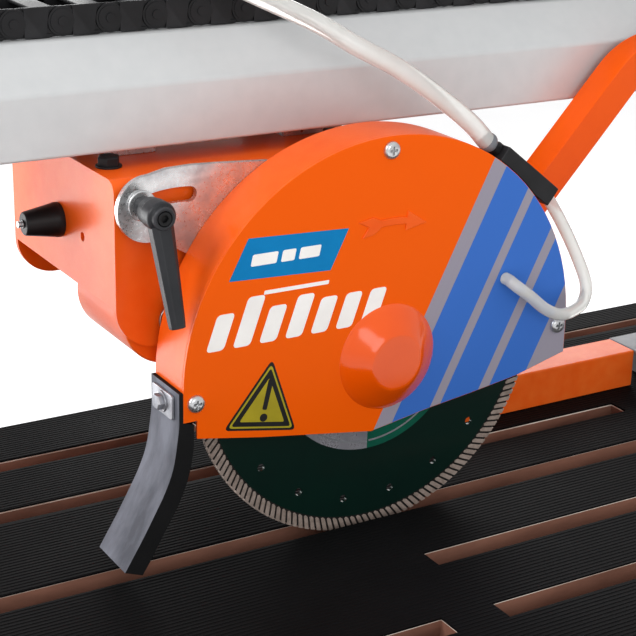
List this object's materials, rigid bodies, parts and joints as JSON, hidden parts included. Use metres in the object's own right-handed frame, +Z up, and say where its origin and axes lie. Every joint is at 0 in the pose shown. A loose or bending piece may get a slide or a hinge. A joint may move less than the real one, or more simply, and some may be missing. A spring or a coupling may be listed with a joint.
{
  "type": "masonry saw",
  "caption": "Rail saw: a blade head swings under a carriage that rolls along a tilting aluminium beam over a slotted table with a water tray.",
  "frame": {"origin": "on the floor, under the middle of the table", "axes": "+X along the beam, to the operator's right; +Y away from the operator, from the blade towards the beam; +Z up"},
  "size_m": [1.42, 0.5838, 1.1569],
  "materials": {
    "orange_paint": "semi-gloss powder coat",
    "rubber": "matt",
    "black_plastic": "satin",
    "plated_steel": "zinc plated",
    "table_metal": "dull",
    "steel": "ground",
    "grey_paint": "semi-gloss",
    "aluminium": "satin anodised",
    "copper": "varnished",
    "green_core": "dark green lacquer",
    "diamond_rim": "sintered, dull",
    "clear_hose": "translucent"
  },
  "bodies": {
    "stand": {"legs": "orange_paint", "feet": "rubber", "braces": "orange_paint", "rails": "orange_paint", "crossbars": "orange_paint", "tray_straps": "orange_paint", "water_tray": "black_plastic", "drain_spout": "black_plastic", "table_plate_front": "table_metal", "table_plate_rear": "table_metal", "mat_front": "rubber", "mat_rear": "rubber", "tilt_brackets": "orange_paint", "tilt_pins": "steel", "fence_bar": "orange_paint", "fence_plate": "grey_paint"},
    "beam": {"beam": "aluminium", "end_plates": "orange_paint", "end_stops": "rubber", "chain_anchor": "plated_steel", "chain_lower": "black_plastic"},
    "chain_low": {"chain_bend_low": "black_plastic"},
    "carriage": {"carriage_frame": "orange_paint", "hangers": "plated_steel", "top_bolts": "black_plastic", "pivot_pin": "steel", "bumper": "rubber", "clamp_stud": "plated_steel", "tow_bracket": "plated_steel", "chain_upper": "black_plastic"},
    "chain_high": {"chain_bend_high": "black_plastic"},
    "rollers_left": {"rollers_left": "black_plastic"},
    "rollers_right": {"rollers_right": "black_plastic"},
    "lever": {"clamp_lever": "black_plastic"},
    "head": {"guard_shell": "orange_paint", "guard_cover": "orange_paint", "cover_screws": "plated_steel", "swing_plate": "plated_steel", "handle_tube": "orange_paint", "handle_grip": "rubber", "head_arm": "orange_paint", "swing_tube": "orange_paint", "motor_housing": "grey_paint", "motor_flange": "grey_paint", "motor_stator": "copper", "motor_cap": "grey_paint", "fan_cover": "black_plastic", "bearings": "steel", "splash_flap": "rubber", "flap_fixing": "plated_steel", "hose_fitting": "black_plastic", "hose_small": "clear_hose", "hose_big": "clear_hose"},
    "spindle": {"spindle_shaft": "steel", "blade_core": "green_core", "blade_rim": "diamond_rim", "flange_outer": "steel", "flange_inner": "steel", "blade_nut": "steel", "fan": "black_plastic"}
  },
  "joints": [
    {"name": "beam_tilt", "type": "hinge", "parent": "stand", "child": "beam", "pos_m": [0, 0, 0.76], "axis": [1, 0, 0], "range_deg": [0, 45], "deforming": ["splash_flap"]},
    {"name": "carriage_slide", "type": "slide", "parent": "beam", "child": "carriage", "axis": [1, 0, 0], "range_m": [-0.5, 0.3], "deforming": ["chain_lower", "chain_upper"]},
    {"name": "chain_low_slide", "type": "slide", "parent": "beam", "child": "chain_low", "axis": [1, 0, 0], "range_m": [-0.25, 0.15]},
    {"name": "chain_high_slide", "type": "slide", "parent": "carriage", "child": "chain_high", "axis": [1, 0, 0], "range_m": [-0.15, 0.25]},
    {"name": "roller_left_spin", "type": "hinge", "parent": "carriage", "child": "rollers_left", "pos_m": [-0.111, 0.108, 1.0247], "axis": [0, 1, 0], "range_deg": [-2050, 1230]},
    {"name": "roller_right_spin", "type": "hinge", "parent": "carriage", "child": "rollers_right", "pos_m": [0.009, 0.108, 1.0247], "axis": [0, 1, 0], "range_deg": [-2050, 1230]},
    {"name": "lever_turn", "type": "hinge", "parent": "carriage", "child": "lever", "pos_m": [-0.134, 0, 0.9829], "axis": [0, 1, 0], "range_deg": [0, 75]},
    {"name": "head_swing", "type": "hinge", "parent": "carriage", "child": "head", "pos_m": [-0.1106, 0.1, 0.9074], "axis": [0, -1, 0], "range_deg": [0, 22.6], "deforming": ["hose_big"]},
    {"name": "spindle_spin", "type": "hinge", "parent": "head", "child": "spindle", "pos_m": [0.014, 0, 0.8764], "axis": [0, 1, 0], "continuous": true}
  ],
  "couplings": [
    {"joint": "chain_low_slide", "follows": "carriage_slide", "ratio": 0.5},
    {"joint": "chain_high_slide", "follows": "carriage_slide", "ratio": -0.5},
    {"joint": "roller_left_spin", "follows": "carriage_slide", "rad_per_m": 71.429},
    {"joint": "roller_right_spin", "follows": "carriage_slide", "rad_per_m": 71.429}
  ]
}
